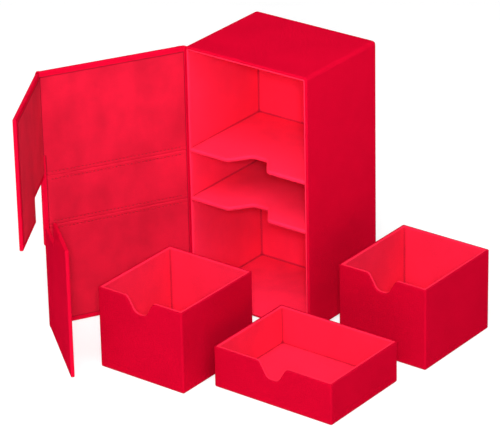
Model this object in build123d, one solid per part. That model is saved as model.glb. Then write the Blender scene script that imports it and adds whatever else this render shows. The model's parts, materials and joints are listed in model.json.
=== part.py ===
"""Card storage tower: cabinet with three bays, book-style door with two side flaps,
two card trays and one dice tray.

Millimetres, +Z up, front towards -Y. The origin is the centre of the cabinet's underside.
Every wall is a stiff board with a leatherette skin outside and a soft lining inside.
The door stands open and the trays stand on the table, in front of and beside the cabinet.
"""
import os
from math import hypot

from build123d import *

# Layers of every wall
SKIN = 0.6
BOARD = 2.0
LINING = 0.6
WALL = SKIN + BOARD + LINING

# Cabinet
CABINET_WIDTH = 112.0
CABINET_DEPTH = 89.0
CABINET_HEIGHT = 208.0
CABINET_EDGE_R = 3.2
CABINET_RIM_R = 1.6
CARCASS_EASE = 1.8
CARCASS_RIM_EASE = 0.8
MIDDLE_BAY_HEIGHT = 36.8
SHELF_NOTCH_MOUTH = 37.0
SHELF_NOTCH_BOTTOM = 13.0
SHELF_NOTCH_DEPTH = 16.5
SHELF_NOTCH_R = 5.0

# Door: a book cover hinged on the cabinet's front left edge
DOOR_OPEN_ANGLE = 119.4
DOOR_END_GAP = 0.6
SPINE_GAP = 4.0
HEM = 4.0
PANEL_EDGE_R = 0.8
SEAM_PITCH = 6.0
SEAM_WIDTH = 0.7
SEAM_SINK = 0.35
BOARD_GAP = 3.0

# Flaps: two L-shaped panels on the door's free edge, which wrap over the cabinet's right wall
UPPER_FOLD_ANGLE = 58.9
LOWER_FOLD_ANGLE = 79.9
FLAP_CLEARANCE = 0.3
FLAP_SHORTFALL = 2.6
FLAP_STEP = 40.0
FLAP_MEETING_GAP = 1.0
FOLD_GAP = 3.9
TAB_REACH = 1.2
TAB_OVERLAP = 16.5
FOLD_BEAD_R = 0.6
BEAD_CLEARANCE = 0.4

# Hidden closure magnets
MAGNET_R = 4.0
MAGNET_THICK = 1.2
MAGNET_INSET = 14.0
MAGNET_END_INSET = 20.0

# Trays
CARD_TRAY_HEIGHT = 65.5
CARD_TRAY_PLAY = 1.7
CARD_TRAY_DEPTH_PLAY = 1.4
DICE_TRAY_HEIGHT = 33.0
DICE_TRAY_PLAY = 1.0
DICE_TRAY_DEPTH_PLAY = 3.4
TRAY_EDGE_R = 1.5
TRAY_NOTCH_MOUTH = 25.0
TRAY_NOTCH_BOTTOM = 10.0
TRAY_NOTCH_DEPTH = 12.5
TRAY_NOTCH_R = 3.0

# Where the trays stand: beside the lower flap's free edge, each other and the cabinet
LEFT_TRAY_BESIDE_FLAP = 3.6
LEFT_TRAY_AHEAD = 44.1
DICE_TRAY_BESIDE_LEFT = 10.5
DICE_TRAY_AHEAD = 23.4
RIGHT_TRAY_BESIDE = 25.9
RIGHT_TRAY_SETBACK = 1.5

# Sizes that follow
FRONT = -CABINET_DEPTH / 2
BACK = CABINET_DEPTH / 2
HALF_WIDTH = CABINET_WIDTH / 2
BAY_WIDTH = CABINET_WIDTH - 2 * WALL
BAY_DEPTH = CABINET_DEPTH - WALL
SHELF = BOARD + 2 * LINING
TALL_BAY_HEIGHT = (CABINET_HEIGHT - 2 * WALL - 2 * SHELF - MIDDLE_BAY_HEIGHT) / 2
LOWER_SHELF_Z = WALL + TALL_BAY_HEIGHT
UPPER_SHELF_Z = LOWER_SHELF_Z + SHELF + MIDDLE_BAY_HEIGHT
LOWER_SEAM_Z = LOWER_SHELF_Z + SHELF / 2
UPPER_SEAM_Z = UPPER_SHELF_Z + SHELF / 2
DOOR_REACH = CABINET_WIDTH + WALL + FLAP_CLEARANCE
DOOR_END = DOOR_REACH - FOLD_BEAD_R - BEAD_CLEARANCE
FLAP_REACH = CABINET_DEPTH + WALL - FLAP_SHORTFALL
CARD_TRAY_WIDTH = TALL_BAY_HEIGHT - CARD_TRAY_PLAY
CARD_TRAY_DEPTH = BAY_DEPTH - CARD_TRAY_DEPTH_PLAY
DICE_TRAY_WIDTH = BAY_WIDTH - DICE_TRAY_PLAY
DICE_TRAY_DEPTH = BAY_DEPTH - DICE_TRAY_DEPTH_PLAY

# How far cutters run past what they cut, and past everything
PAST = 5.0
FAR = 10 * CABINET_HEIGHT

DOOR_PLACE = Pos(-HALF_WIDTH, FRONT, 0) * Rot(0, 0, -DOOR_OPEN_ANGLE)


def block(x, y, z):
    """A box between low and high values along each axis."""
    size = (x[1] - x[0], y[1] - y[0], z[1] - z[0])
    return Pos((x[0] + x[1]) / 2, (y[0] + y[1]) / 2, (z[0] + z[1]) / 2) * Box(*size)


def slab(low, high):
    """Everything between two heights."""
    return block((-FAR, FAR), (-FAR, FAR), (low, high))


def standing_disc(radius, height):
    """A cylinder standing on the origin."""
    return Cylinder(radius, height, align=(Align.CENTER, Align.CENTER, Align.MIN))


def notch_outline(mouth, bottom, depth, radius, inset):
    """A finger notch hanging from the line y = 0, widened by inset into the board around it."""
    slope = (mouth - bottom) / (2 * depth)
    widening = inset * hypot(1, slope)
    half_mouth = mouth / 2 - inset * slope + widening
    half_bottom = bottom / 2 - inset * slope + widening
    floor = -depth - inset
    side = half_mouth + 2 * radius
    points = [
        (-side, PAST), (-side, -inset), (-half_mouth, -inset), (-half_bottom, floor),
        (half_bottom, floor), (half_mouth, -inset), (side, -inset), (side, PAST),
    ]
    face = make_face(Polyline(*points, close=True))
    face = fillet(face.vertices().group_by(Axis.Y)[0], radius + inset)
    rim_corners = face.vertices().group_by(Axis.Y)[-2]
    return fillet(rim_corners.sort_by(lambda corner: abs(corner.X))[:2], radius - inset)


def shelf_notch(top, inset):
    """Cutter for the notch in a shelf's front edge, through the shelf below the given top."""
    outline = notch_outline(
        SHELF_NOTCH_MOUTH, SHELF_NOTCH_BOTTOM, SHELF_NOTCH_DEPTH, SHELF_NOTCH_R, inset
    )
    plane = Plane(origin=(0, FRONT, top), x_dir=(1, 0, 0), z_dir=(0, 0, -1))
    return extrude(plane * outline, amount=SHELF)


def tray_notch(depth, height, inset):
    """Cutter for the notch in a tray's front wall."""
    outline = notch_outline(
        TRAY_NOTCH_MOUTH, TRAY_NOTCH_BOTTOM, TRAY_NOTCH_DEPTH, TRAY_NOTCH_R, inset
    )
    plane = Plane(origin=(0, -depth / 2 + WALL + PAST, height), x_dir=(1, 0, 0), z_dir=(0, -1, 0))
    return extrude(plane * outline, amount=WALL + 2 * PAST)


def magnets_on_wall():
    """Distance from the cabinet's front and height of each magnet pair."""
    from_front = FLAP_REACH - MAGNET_INSET - WALL
    middle = CABINET_HEIGHT / 2
    low, high = MAGNET_END_INSET, middle - MAGNET_END_INSET
    return from_front, (low, high), (CABINET_HEIGHT - high, CABINET_HEIGHT - low)


def magnet_discs(from_front, heights, face_x):
    """Discs sunk into the wall from its face at face_x, towards the bay."""
    disc = Rot(0, -90, 0) * standing_disc(MAGNET_R, MAGNET_THICK)
    return [Pos(face_x, FRONT + from_front, z) * disc for z in heights]


def cabinet_block(inset, break_edges, edge_size, rim_size):
    """The cabinet's outside drawn in by inset, its edges broken, less so around the front."""
    half = HALF_WIDTH - inset
    body = block((-half, half), (FRONT + inset, BACK - inset), (inset, CABINET_HEIGHT - inset))
    front = body.faces().sort_by(Axis.Y)[0]
    body = break_edges(body.edges() - front.edges(), edge_size)
    return break_edges(body.faces().sort_by(Axis.Y)[0].edges(), rim_size)


def cabinet():
    """Carcass of five boards, lined bays, two shelves and the skin around them."""
    outside = cabinet_block(0, fillet, CABINET_EDGE_R, CABINET_RIM_R)
    core = cabinet_block(SKIN, chamfer, CARCASS_EASE, CARCASS_RIM_EASE)
    half_bay = BAY_WIDTH / 2
    bay_back = FRONT + BAY_DEPTH
    hollow = block((-half_bay, half_bay), (FRONT - PAST, bay_back), (WALL, CABINET_HEIGHT - WALL))
    skin = outside - core - hollow
    pieces = {
        "cabinet_skin": skin - slab(-PAST, SKIN),
        "cabinet_base_sheet": skin & slab(0, SKIN),
    }

    lined = half_bay + LINING
    hollow_and_lining = block(
        (-lined, lined), (FRONT - PAST, bay_back + LINING), (WALL - LINING, CABINET_HEIGHT - WALL + LINING)
    )
    carcass = core - hollow_and_lining
    bottom_top, top_bottom = WALL - LINING, CABINET_HEIGHT - WALL + LINING
    walls = carcass & slab(bottom_top, top_bottom)
    tall = (0, CABINET_HEIGHT)
    deep = (FRONT, BACK)
    right_board = walls & block((lined, HALF_WIDTH), deep, tall)
    from_front, lower_pair, upper_pair = magnets_on_wall()
    magnets = magnet_discs(from_front, lower_pair + upper_pair, HALF_WIDTH - SKIN)
    for disc in magnets:
        right_board -= disc
    pieces["cabinet_bottom_board"] = carcass & slab(0, bottom_top)
    pieces["cabinet_top_board"] = carcass & slab(top_bottom, CABINET_HEIGHT)
    pieces["cabinet_left_board"] = walls & block((-HALF_WIDTH, -lined), deep, tall)
    pieces["cabinet_right_board"] = right_board
    pieces["cabinet_back_board"] = walls & block((-lined, lined), deep, tall)
    pieces["closure_magnets"] = Compound(children=magnets)

    bays = {
        "lower": (WALL, LOWER_SHELF_Z),
        "middle": (LOWER_SHELF_Z + SHELF, UPPER_SHELF_Z),
        "upper": (UPPER_SHELF_Z + SHELF, CABINET_HEIGHT - WALL),
    }
    shelves = {"lower": LOWER_SHELF_Z + SHELF, "upper": UPPER_SHELF_Z + SHELF}
    behind_rim = (FRONT + SKIN, bay_back + LINING)
    for name, (low, high) in bays.items():
        lining = block((-lined, lined), behind_rim, (low - LINING, high + LINING))
        lining -= block((-half_bay, half_bay), (FRONT - PAST, bay_back), (low, high))
        for top in shelves.values():
            lining -= shelf_notch(top, SKIN)
        pieces[f"{name}_bay_lining"] = lining
    for name, top in shelves.items():
        board = block((-lined, lined), behind_rim, (top - LINING - BOARD, top - LINING))
        pieces[f"{name}_shelf_board"] = board - shelf_notch(top, SKIN)
        shelf = block((-half_bay, half_bay), (FRONT, bay_back), (top - SHELF, top))
        behind_edging = block((-half_bay, half_bay), (FRONT + SKIN, bay_back), (top - SHELF, top))
        behind_edging -= shelf_notch(top, SKIN)
        pieces[f"{name}_shelf_edging"] = shelf - shelf_notch(top, 0) - behind_edging
    return pieces


def layer(outline, near, far):
    """The part of a panel between two depths, measured from its inner face at y = 0."""
    return Pos(0, -near, 0) * extrude(Plane.XZ * outline, amount=far - near)


def panel(outline):
    """Skin, board and lining of a flat panel.

    outline(inset, at_folds) gives its shape drawn in by inset, and by at_folds along its folds.
    The skin shows as a hem around the lining, but the lining runs right up to the folds.
    """
    body = layer(outline(0, 0), 0, WALL)
    body = fillet(body.faces().sort_by(Axis.Y)[0].edges(), PANEL_EDGE_R)
    board = layer(outline(SKIN, SKIN), LINING, LINING + BOARD)
    lining = layer(outline(HEM, 0), 0, LINING)
    return body - board - lining, board, lining


def door_outline(inset, at_folds):
    """The door seen from inside: u from the hinge, with a tab between the two flaps."""
    near, end = SPINE_GAP + at_folds, DOOR_END - at_folds
    tab = DOOR_REACH + TAB_REACH - inset
    low, high = DOOR_END_GAP + inset, CABINET_HEIGHT - DOOR_END_GAP - inset
    tab_low, tab_high = LOWER_SEAM_Z - TAB_OVERLAP + inset, UPPER_SEAM_Z + TAB_OVERLAP - inset
    points = [
        (near, low), (end, low), (end, tab_low), (tab, tab_low),
        (tab, tab_high), (end, tab_high), (end, high), (near, high),
    ]
    return make_face(Polyline(*points, close=True))


def fold_bead(low, high):
    """Round bead on a fold's axis, which the panel turns about."""
    return Pos(0, 0, low) * standing_disc(FOLD_BEAD_R, high - low)


def door():
    """Door panel, its three boards, the lining with two double sewn rows, and the spine fold."""
    skin, board, lining = panel(door_outline)
    across = (SPINE_GAP + SEAM_WIDTH, DOOR_REACH + TAB_REACH - HEM - SEAM_WIDTH)
    rows = [
        block(across, (-SEAM_SINK, 0), (z - SEAM_WIDTH / 2, z + SEAM_WIDTH / 2))
        for seam in (LOWER_SEAM_Z, UPPER_SEAM_Z)
        for z in (seam - SEAM_PITCH / 2, seam + SEAM_PITCH / 2)
    ]
    for row in rows:
        lining -= row
    low, high = DOOR_END_GAP, CABINET_HEIGHT - DOOR_END_GAP
    half_gap = BOARD_GAP / 2
    spine = fold_bead(low, high) + block((0, SPINE_GAP), (-SKIN, 0), (low, high))
    pieces = {
        "door_skin": skin,
        "door_lower_board": board & slab(low, LOWER_SEAM_Z - half_gap),
        "door_middle_board": board & slab(LOWER_SEAM_Z + half_gap, UPPER_SEAM_Z - half_gap),
        "door_upper_board": board & slab(UPPER_SEAM_Z + half_gap, high),
        "door_lining": lining,
        "door_seam_threads": Compound(children=rows),
        "spine_hinge": spine,
    }
    return {name: DOOR_PLACE * piece for name, piece in pieces.items()}


def flap_place(fold):
    """Where a flap's inner face starts, on the fold axis in the door's outer face."""
    return DOOR_PLACE * Pos(DOOR_REACH, -WALL, 0) * Rot(0, 0, fold) * Pos(0, WALL, 0)


def flap(name, fold, heights, flip):
    """One L-shaped flap. flip turns a height of the upper flap into this flap's own."""

    def outline(inset, at_fold):
        near, step, end = FOLD_GAP + at_fold, FLAP_STEP + inset, FLAP_REACH - inset
        window = flip(UPPER_SEAM_Z + inset)
        meeting = flip((CABINET_HEIGHT + FLAP_MEETING_GAP) / 2 + inset)
        rim = flip(CABINET_HEIGHT - DOOR_END_GAP - inset)
        points = [
            (near, window), (step, window), (step, meeting), (end, meeting), (end, rim), (near, rim),
        ]
        return make_face(Polyline(*points, close=True))

    skin, board, lining = panel(outline)
    disc = Rot(90, 0, 0) * standing_disc(MAGNET_R, MAGNET_THICK)
    magnets = [Pos(FLAP_REACH - MAGNET_INSET, -LINING, z) * disc for z in heights]
    for magnet in magnets:
        board -= magnet
    beyond_tab = UPPER_SEAM_Z + TAB_OVERLAP + BEAD_CLEARANCE
    ends = sorted((flip(beyond_tab), flip(CABINET_HEIGHT - DOOR_END_GAP)))
    fold_strip = Pos(0, -WALL, 0) * (fold_bead(*ends) + block((0, FOLD_GAP), (0, SKIN), ends))
    pieces = {
        f"{name}_skin": skin,
        f"{name}_board": board,
        f"{name}_lining": lining,
        f"{name}_magnets": Compound(children=magnets),
        f"{name}_fold": fold_strip,
    }
    return {node: flap_place(fold) * piece for node, piece in pieces.items()}


def upright_box(width, depth, low, high, radius):
    """Box centred on the Z axis with rounded upright edges."""
    box = block((-width / 2, width / 2), (-depth / 2, depth / 2), (low, high))
    return fillet(box.edges().filter_by(Axis.Z), radius)


def tray(name, width, depth, height, at):
    """Open tray of five boards, lined inside and over the rim, with a finger notch in front."""
    thin = SKIN + BOARD
    cavity = block(
        (-width / 2 + WALL, width / 2 - WALL), (-depth / 2 + WALL, depth / 2 - WALL), (WALL, height + PAST)
    )
    shell = upright_box(width, depth, 0, height, TRAY_EDGE_R) - cavity - tray_notch(depth, height, 0)
    core = upright_box(width - 2 * SKIN, depth - 2 * SKIN, SKIN, height - SKIN, TRAY_EDGE_R - SKIN)
    core = core - cavity - tray_notch(depth, height, SKIN)
    inside_boards = block(
        (-width / 2 + thin, width / 2 - thin), (-depth / 2 + thin, depth / 2 - thin), (thin, height)
    )
    within_skin = upright_box(width - 2 * SKIN, depth - 2 * SKIN, thin, height, TRAY_EDGE_R - SKIN)
    rim = (shell - core) & within_skin
    skin = shell - core - within_skin
    boards = core - inside_boards
    walls = boards & slab(thin, height)
    across, along = (-width / 2, width / 2), (-depth / 2, depth / 2)
    between = (-width / 2 + thin, width / 2 - thin)
    tall = (0, height)
    pieces = {
        "skin": skin - slab(-PAST, SKIN),
        "base_sheet": skin & slab(0, SKIN),
        "lining": (core & inside_boards) + rim,
        "base_board": boards & slab(0, thin),
        "left_board": walls & block((across[0], between[0]), along, tall),
        "right_board": walls & block((between[1], across[1]), along, tall),
        "front_board": walls & block(between, (along[0], 0), tall),
        "back_board": walls & block(between, (0, along[1]), tall),
    }
    return {f"{name}_{piece}": Pos(*at, 0) * solid for piece, solid in pieces.items()}


def tray_places():
    """The middle of each tray's underside on the table: left card tray, dice tray, right card tray."""
    flap_corner = flap_place(LOWER_FOLD_ANGLE) * Pos(FLAP_REACH, 0, 0)
    left_x = flap_corner.position.X + LEFT_TRAY_BESIDE_FLAP + CARD_TRAY_WIDTH / 2
    left_y = FRONT - LEFT_TRAY_AHEAD - CARD_TRAY_DEPTH / 2
    dice_x = left_x + CARD_TRAY_WIDTH / 2 + DICE_TRAY_BESIDE_LEFT + DICE_TRAY_WIDTH / 2
    dice_y = FRONT - DICE_TRAY_AHEAD - DICE_TRAY_DEPTH / 2
    right_x = HALF_WIDTH + RIGHT_TRAY_BESIDE + CARD_TRAY_WIDTH / 2
    right_y = FRONT + RIGHT_TRAY_SETBACK + CARD_TRAY_DEPTH / 2
    return (left_x, left_y), (dice_x, dice_y), (right_x, right_y)


def build():
    """Every piece by its name."""
    lower_magnets, upper_magnets = magnets_on_wall()[1:]
    left_at, dice_at, right_at = tray_places()
    pieces = cabinet() | door()
    pieces |= flap("upper_flap", UPPER_FOLD_ANGLE, upper_magnets, lambda z: z)
    pieces |= flap("lower_flap", LOWER_FOLD_ANGLE, lower_magnets, lambda z: CABINET_HEIGHT - z)
    pieces |= tray("left_card_tray", CARD_TRAY_WIDTH, CARD_TRAY_DEPTH, CARD_TRAY_HEIGHT, left_at)
    pieces |= tray("right_card_tray", CARD_TRAY_WIDTH, CARD_TRAY_DEPTH, CARD_TRAY_HEIGHT, right_at)
    pieces |= tray("dice_tray", DICE_TRAY_WIDTH, DICE_TRAY_DEPTH, DICE_TRAY_HEIGHT, dice_at)
    return pieces


os.makedirs("parts", exist_ok=True)
for node, piece in build().items():
    export_step(piece, f"parts/{node}.step")
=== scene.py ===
"""Looks of the card storage tower: leatherette outside, suede lining inside, sewn seams and soft folds.

Metres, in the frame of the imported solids: +Z up, front towards -Y, origin under the middle of the cabinet.
Leatherette and suede are thin sheets with rolled edges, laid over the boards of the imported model.
"""
import json
from math import atan2, cos, exp, pi, radians, sin, sqrt, tan

import bmesh
import bpy
from mathutils import Matrix, Vector, noise


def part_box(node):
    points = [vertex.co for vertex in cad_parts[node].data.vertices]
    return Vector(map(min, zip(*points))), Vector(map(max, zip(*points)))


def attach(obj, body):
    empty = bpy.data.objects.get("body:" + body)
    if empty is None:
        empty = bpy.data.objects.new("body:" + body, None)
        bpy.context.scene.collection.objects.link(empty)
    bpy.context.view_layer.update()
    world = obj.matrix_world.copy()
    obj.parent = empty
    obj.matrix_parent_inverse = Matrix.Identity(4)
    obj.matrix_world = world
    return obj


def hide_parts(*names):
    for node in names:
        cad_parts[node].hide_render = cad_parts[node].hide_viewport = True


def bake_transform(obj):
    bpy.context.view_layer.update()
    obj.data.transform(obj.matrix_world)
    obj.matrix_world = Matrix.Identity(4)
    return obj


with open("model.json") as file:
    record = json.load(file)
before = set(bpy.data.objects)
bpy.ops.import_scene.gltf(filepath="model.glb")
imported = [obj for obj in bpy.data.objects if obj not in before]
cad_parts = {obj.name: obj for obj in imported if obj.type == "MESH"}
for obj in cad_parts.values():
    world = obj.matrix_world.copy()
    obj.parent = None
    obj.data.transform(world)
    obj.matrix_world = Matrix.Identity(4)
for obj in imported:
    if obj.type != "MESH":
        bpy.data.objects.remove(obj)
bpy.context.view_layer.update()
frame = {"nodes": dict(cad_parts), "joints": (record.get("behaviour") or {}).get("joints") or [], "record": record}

MM = 0.001

# Sheets and edges
WALL = 3.2 * MM  # a board with its skin and lining
PACKED_SHEET = 0.6 * MM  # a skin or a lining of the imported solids
SHEET = 0.28 * MM  # a sheet of the scene
EDGE_STEPS = 4
CORNER_STEPS = 5
LEAST_RADIUS = 0.3 * MM
CRISP_ANGLE = radians(50)

# Rims, where a leatherette and a suede edge meet and both roll in
RIM_SLIT = 0.04 * MM
RIM_ROLL = 0.4 * MM
RIM_TUCK = 1.2 * MM
RIM_INNER_R = 0.8 * MM

# Cabinet
CABINET_EDGE_R = 3.2 * MM
CABINET_RIM_R = 1.3 * MM
RIM_SPLIT = 1.8 * MM  # from the outside to where the sheets meet
LIP = 3.0 * MM  # how far the rim's suede reaches into the bays
LINING_FRONT = 1.7 * MM  # from the cabinet's front to the bays' lining
LINING_PROUD = 0.12 * MM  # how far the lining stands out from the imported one
CREASE_REACH = 0.8 * MM
CREASE_DEPTH = 0.3 * MM
SHELF_HALF = 1.6 * MM
ROLL_END = 0.5 * MM  # how far a shelf's roll reaches into the side walls
ROLL_TAIL = 0.6 * MM  # how far it runs on under the bays' lining
ROLL_STEPS = 12
SHELF_NOTCH = {
    "mouth": 37 * MM, "bottom": 13 * MM, "depth": 16.5 * MM, "mouth_r": 5 * MM, "bottom_r": 5 * MM,
}
BASE_INSET = 3.0 * MM
BASE_CORNER_R = 6.0 * MM
BASE_LIFT = 0.3 * MM  # from the table to the skin's lower edge
BASE_THICK = 0.5 * MM

# Finishes: white, and the range that most of a soft noise falls in
WHITE = (1.0, 1.0, 1.0)
NOISE_LOW = 0.3
NOISE_HIGH = 0.7

# Suede: painted shade in creases and along the edges of a lining
PAINTED_CORNER_DARKNESS = 0.55
PAINTED_CORNER_REACH = 3.0 * MM
# Mark of the points that get painted shade along a lining's edge
PAINTED_EDGE_MARK = "pressed"
PAINTED_EDGE_FULL = 0.5 * MM
PAINTED_EDGE_END = 0.8 * MM
PAINTED_EDGE_DARKNESS = 0.55

# Door and flaps
HEM = 4.0 * MM
HEM_DROP = 0.3 * MM  # how far the hem lies below the lining
PANEL_CORNER_R = 1.0 * MM
PANEL_INNER_R = 0.9 * MM
PANEL_OUTER_R = 0.9 * MM
END_GAP = 0.6 * MM  # how much shorter than the cabinet a panel is, above and below
SPINE_GAP = 4.0 * MM  # from the hinge to the door's skin
LINING_AT_SPINE = 0.35 * MM
LINING_AT_FOLD = 0.5 * MM
DOOR_END_SHORT = 1.0 * MM  # from the door's free edge to the fold
TAB_REACH = 1.2 * MM  # how far the door's tab reaches past the fold
TAB_OVERLAP = 16.5 * MM  # how far it reaches above and below the seams
FOLD_GAP = 3.9 * MM  # from the fold to a flap's skin
FLAP_REACH = 89.6 * MM
FLAP_STEP = 40.0 * MM
FLAP_MEETING_GAP = 1.0 * MM
BEAD_CLEARANCE = 0.4 * MM  # between the tab and a fold's end
FOLD_R = 1.2 * MM
FOLD_TUCK = 1.3 * MM  # how far a fold's strip overlaps the panels
FLAPS = ("upper_flap", "lower_flap")

# Strip of the spine: how it lies on the cabinet's wall and where it bends
STRIP_STEPS = 8  # along the height of any strip, and across the spine
STRIP_IN_WALL = 0.45 * MM
STRIP_ON_WALL = (6.0 * MM, 1.8 * MM)
STRIP_DEPTH = 0.6 * MM
STRIP_BEND_R = 0.4 * MM
STRIP_WALL_CUT = 2.4 * MM
STRIP_WALL_CUT_REACH = 5.0 * MM
STRIP_END_CUT = 1.5 * MM

# Valley of suede inside a flap's fold
VALLEY_LIP = 0.2 * MM
VALLEY_STEP = 0.5 * MM
VALLEY_DOOR_DEPTH = 1.6 * MM
VALLEY_FLAP_DEPTH = 1.3 * MM
VALLEY_R = 0.3 * MM
VALLEY_END_GAP = 2.0 * MM

# Door lining: spacing of its points, and its slight waves
LINING_STEP = 6.0 * MM
LINING_COLUMNS = 24
LINING_EDGE = 1.0 * MM
LINING_EDGE_STOPS = [stop * MM for stop in (0, 0.05, 0.12, 0.2, 0.3, 0.5, 0.8)]
TAB_SOFTNESS = 1.5 * MM
TAB_STEPS = 4
WAVE_HEIGHT = 0.07 * MM
WAVE_LENGTH = 16 * MM

# Sewn seams on the door
ROW_OFFSET = 3.0 * MM
STITCH_PITCH = 3.0 * MM
STITCH_LENGTH = 2.1 * MM
STITCH_SIDES = 8
STITCH_STEPS = 6
STITCH_DIVE = 0.35 * MM
STITCH_RISE = 0.5 * MM
STITCH_THIN = 0.35  # least share of the thread's radius along a stitch
STITCH_TIP = 0.3  # share of it at a stitch's two tips
THREAD_R = 0.3 * MM
THREAD_FLATNESS = 1.15
ROW_END = 1.0 * MM
ROW_SINK = 0.14 * MM
CREASE_SINK = 0.28 * MM
GROOVE_WIDTH = 0.55 * MM
GROOVE_FADE = 1.5 * MM
GROOVE_STEP = 0.25 * MM
GROOVE_REACH = 1.6 * MM

# Trays
TRAY_EDGE_R = 1.5 * MM
TRAY_BOTTOM_R = 1.2 * MM
TRAY_RIM_R = 0.7 * MM
TRAY_RIM_SPLIT = 1.2 * MM
TRAY_NOTCH = {
    "mouth": 25 * MM, "bottom": 10 * MM, "depth": 12.5 * MM, "mouth_r": 3.6 * MM, "bottom_r": 6 * MM,
}
UNDER_NOTCH = 3.0 * MM  # plain wall below the notch, where the rings run level again
TRAYS = ("left_card_tray", "right_card_tray", "dice_tray")

# Camera, from the photograph's viewing angle
IMAGE_WIDTH = 500
FOCAL_PIXELS = 3170.8
CAMERA_AZIMUTH = radians(37.45)
CAMERA_ELEVATION = radians(25.03)
CAMERA_ROLL = radians(-1.21)
CAMERA_DISTANCE = 2.4366
CAMERA_AIM = Vector((-0.03475, 0.00346, 0.05388))
SENSOR_WIDTH = 36
CLIP_NEAR = 0.05
CLIP_FAR = 50

# Floor: half of what the camera sees of it is plain white, the other half keeps a soft shadow
FLOOR_GREY = 0.85
FLOOR_WHITE_SHARE = 0.5
FLOOR_WHITE = 1.3
FLOOR_HALF = 12.0
FLOOR_DROP = 0.2 * MM

# Light: lamps by azimuth and elevation in degrees, and distance and size in metres
LIGHT_AIM = Vector((0.02, -0.06, 0.08))
LAMPS = {
    "main": {"azimuth": 37.5, "elevation": 26, "distance": 2.4, "size": 0.25, "level": 0.66},
    "right": {"azimuth": 80, "elevation": 56, "distance": 2.0, "size": 1.0, "level": 0.28},
    "left": {"azimuth": -55, "elevation": 22, "distance": 2.0, "size": 1.0, "level": 0.12},
    "top": {"azimuth": 18, "elevation": 56, "distance": 1.7, "size": 1.2, "level": 0.8},
}
AROUND_FRONT = (0.46, -0.80, 0.38)  # where the surroundings are brightest
AROUND_DIM = 0.08
AROUND_BRIGHT = 0.32
AROUND_SPREAD = 0.7


# Places that follow from the frame

def joint(name):
    """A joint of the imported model."""
    return next(j for j in frame["joints"] if j["name"] == name)


def flat(point):
    """The point's place on the table."""
    return Vector((point[0], point[1], 0))


CABINET_LOW, CABINET_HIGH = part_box("cabinet_skin")
CABINET_LOW.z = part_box("cabinet_base_sheet")[0].z
LOWER_SEAM = sum(p.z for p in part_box("lower_shelf_edging")) / 2
UPPER_SEAM = sum(p.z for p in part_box("upper_shelf_edging")) / 2
HEIGHT = CABINET_HIGH.z
HINGE = flat(joint("door_hinge")["pos_m"])
FOLD = flat(joint("upper_flap_hinge")["pos_m"])
DOOR_REACH = sqrt((FOLD - HINGE).length_squared - WALL ** 2)
DOOR_ANGLE = atan2(FOLD.y - HINGE.y, FOLD.x - HINGE.x) + atan2(WALL, DOOR_REACH)
DOOR_PLACE = Matrix.Translation(HINGE) @ Matrix.Rotation(DOOR_ANGLE, 4, "Z")
DOOR_END = DOOR_REACH - DOOR_END_SHORT


def fold_angle(name):
    """How far a flap is folded at rest: turning back by it lays the flap flat with the door."""
    return -radians(joint(f"{name}_hinge")["range_deg"][0])


def flap_place(name):
    """A flap's own frame: x along the flap from the fold, y into the box, inner face at y = 0."""
    turn = Matrix.Rotation(DOOR_ANGLE + fold_angle(name), 4, "Z")
    return Matrix.Translation(FOLD) @ turn @ Matrix.Translation((0, WALL, 0))


# Mesh building

def rounded(corners, radius, closed=True):
    """Straight runs between the corners, with an arc at each.

    The radius is a number, or a function that is told whether the corner turns left.
    """
    points = []
    last = len(corners) - 1
    for i, corner in enumerate(corners):
        here = Vector(corner)
        if not closed and i in (0, last):
            points.append(here)
            continue
        into = (here - Vector(corners[i - 1])).normalized()
        out = (Vector(corners[(i + 1) % len(corners)]) - here).normalized()
        cross = into.x * out.y - into.y * out.x
        turn = atan2(cross, into.dot(out))
        r = radius(cross > 0) if callable(radius) else radius
        start = here - into * (r * tan(abs(turn) / 2))
        side = Vector((-into.y, into.x)) * (r if turn > 0 else -r)
        centre = start + side
        for k in range(CORNER_STEPS + 1):
            angle = turn * k / CORNER_STEPS
            points.append(centre - Matrix.Rotation(angle, 2) @ side)
    return points


def creased(corners):
    """Straight runs round a counter-clockwise hollow, with a crease pressed into each corner."""
    points = []
    for i, corner in enumerate(corners):
        here = Vector(corner)
        into = (here - Vector(corners[i - 1])).normalized()
        out = (Vector(corners[(i + 1) % len(corners)]) - here).normalized()
        away = (into - out).normalized()
        for k in range(CORNER_STEPS + 1):
            t = 2 * k / CORNER_STEPS - 1
            along = into * min(t, 0) + out * max(t, 0)
            points.append(here + along * CREASE_REACH + away * (CREASE_DEPTH * (1 - t * t)))
    return points


def crease_profile(level, deeper):
    """(inset, level) pairs where a wall meets a floor at level; deeper is the side away from the hollow."""
    reach, depth = CREASE_REACH, CREASE_DEPTH
    start, middle = level - deeper * reach, level - deeper * reach / 2
    under = level + deeper * depth
    return [(0, start), (-depth, middle), (-depth, under), (reach / 2, under), (reach, level)]


def drawn_in(corners, distance):
    """The corners of a counter-clockwise outline, moved inwards."""
    moved = []
    for i, corner in enumerate(corners):
        here = Vector(corner)
        into = (here - Vector(corners[i - 1])).normalized()
        out = (Vector(corners[(i + 1) % len(corners)]) - here).normalized()
        a, b = Vector((-into.y, into.x)), Vector((-out.y, out.x))
        moved.append(here + (a + b) * (distance / (1 + a.dot(b))))
    return moved


def ring(corners, inset, radius):
    """The outline drawn in by inset, with its corners rounded to match."""
    def corner_radius(convex):
        return max(radius - inset, LEAST_RADIUS) if convex else radius + inset
    return rounded(drawn_in(corners, inset), corner_radius)


def rectangle(low_a, high_a, low_b, high_b):
    """Corners of a rectangle, counter-clockwise."""
    return [(low_a, low_b), (high_a, low_b), (high_a, high_b), (low_a, high_b)]


def wall_to_face(inset, from_level, to_level):
    """Quarter round from an outer wall to a face: (inset, level) pairs."""
    quarter = [k / EDGE_STEPS * pi / 2 for k in range(EDGE_STEPS + 1)]
    return [(inset * (1 - cos(t)), from_level + (to_level - from_level) * sin(t)) for t in quarter]


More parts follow.
